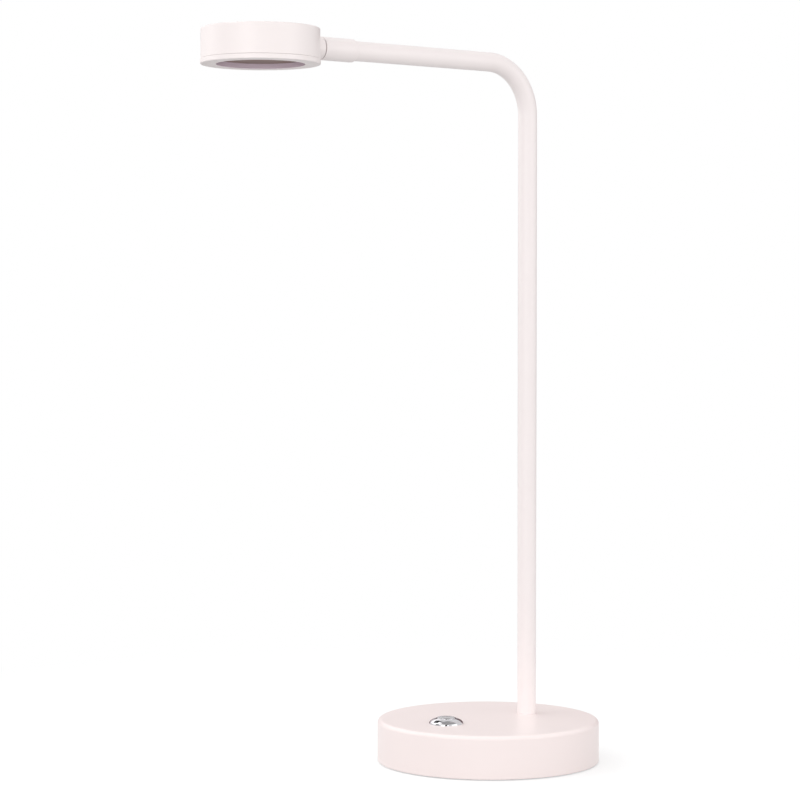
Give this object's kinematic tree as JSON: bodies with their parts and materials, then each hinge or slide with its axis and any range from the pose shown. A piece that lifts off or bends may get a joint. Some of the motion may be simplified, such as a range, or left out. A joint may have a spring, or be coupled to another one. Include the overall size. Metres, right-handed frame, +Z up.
{
  "type": "table lamp",
  "caption": "Table lamp with a round weighted base, a push button on it, a bent tube as stem and arm, and a flat drum-shaped LED head that swivels on the arm's end.",
  "frame": {"origin": "centre of the foot pad's underside, on the table", "axes": "+Z up along the stem, -X from the stem towards the head, Y across the lamp"},
  "size_m": [0.2806, 0.14, 0.45],
  "materials": {
    "base_paint": "satin powder coat",
    "arm_paint": "satin powder coat",
    "head_paint": "satin powder coat",
    "cover_steel": "matt coated steel",
    "zinc_steel": "bright zinc",
    "pad_foam": "fine-pored foam rubber",
    "ballast_iron": "as cast",
    "grommet_rubber": "matt",
    "driver_laminate": "solder mask",
    "nylon": "natural",
    "terminal_plastic": "moulded",
    "component_black": "moulded",
    "lead_sheath": "soft sheath",
    "chrome": "polished",
    "diffuser_opal": "smoked satin",
    "led_laminate": "white solder mask",
    "led_phosphor": "clear-coated phosphor",
    "plate_aluminium": "milled"
  },
  "bodies": {
    "stand": {"base_shell": "base_paint", "bottom_cover": "cover_steel", "cover_screws": "zinc_steel", "foot_pad": "pad_foam", "ballast_weight": "ballast_iron", "cord_grommet": "grommet_rubber", "driver_board": "driver_laminate", "board_posts": "nylon", "terminal_blocks": "terminal_plastic", "choke_coil": "component_black", "filter_capacitor": "component_black", "driver_chip": "component_black", "arm_tube": "arm_paint", "stem_insert": "zinc_steel", "stem_washer": "zinc_steel", "stem_nut": "zinc_steel", "ferrule": "arm_paint", "friction_washer": "nylon", "lead_wire": "lead_sheath", "button_bezel": "chrome", "button_nut": "zinc_steel", "switch_body": "component_black", "switch_lead": "lead_sheath"},
    "button": {"button_cap": "chrome", "switch_plunger": "nylon"},
    "head": {"head_housing": "head_paint", "head_bezel": "head_paint", "diffuser": "diffuser_opal", "reflector": "nylon", "led_board": "led_laminate", "led_chips": "led_phosphor", "heat_plate": "plate_aluminium", "board_screws": "zinc_steel", "lead_connector": "terminal_plastic", "swivel_spindle": "zinc_steel", "spindle_nut": "zinc_steel", "disc_spring": "zinc_steel", "swivel_nut": "zinc_steel", "stop_pin": "zinc_steel"}
  },
  "joints": [
    {"name": "head_swivel", "type": "hinge", "parent": "stand", "child": "head", "pos_m": [-0.1735, 0, 0.441], "axis": [1, 0, 0], "range_deg": [-160, 160]},
    {"name": "button_press", "type": "slide", "parent": "stand", "child": "button", "axis": [0, 0, -1], "range_m": [0, 0.0012], "stiffness_N_per_m": 1000, "springref_m": -0.001}
  ]
}
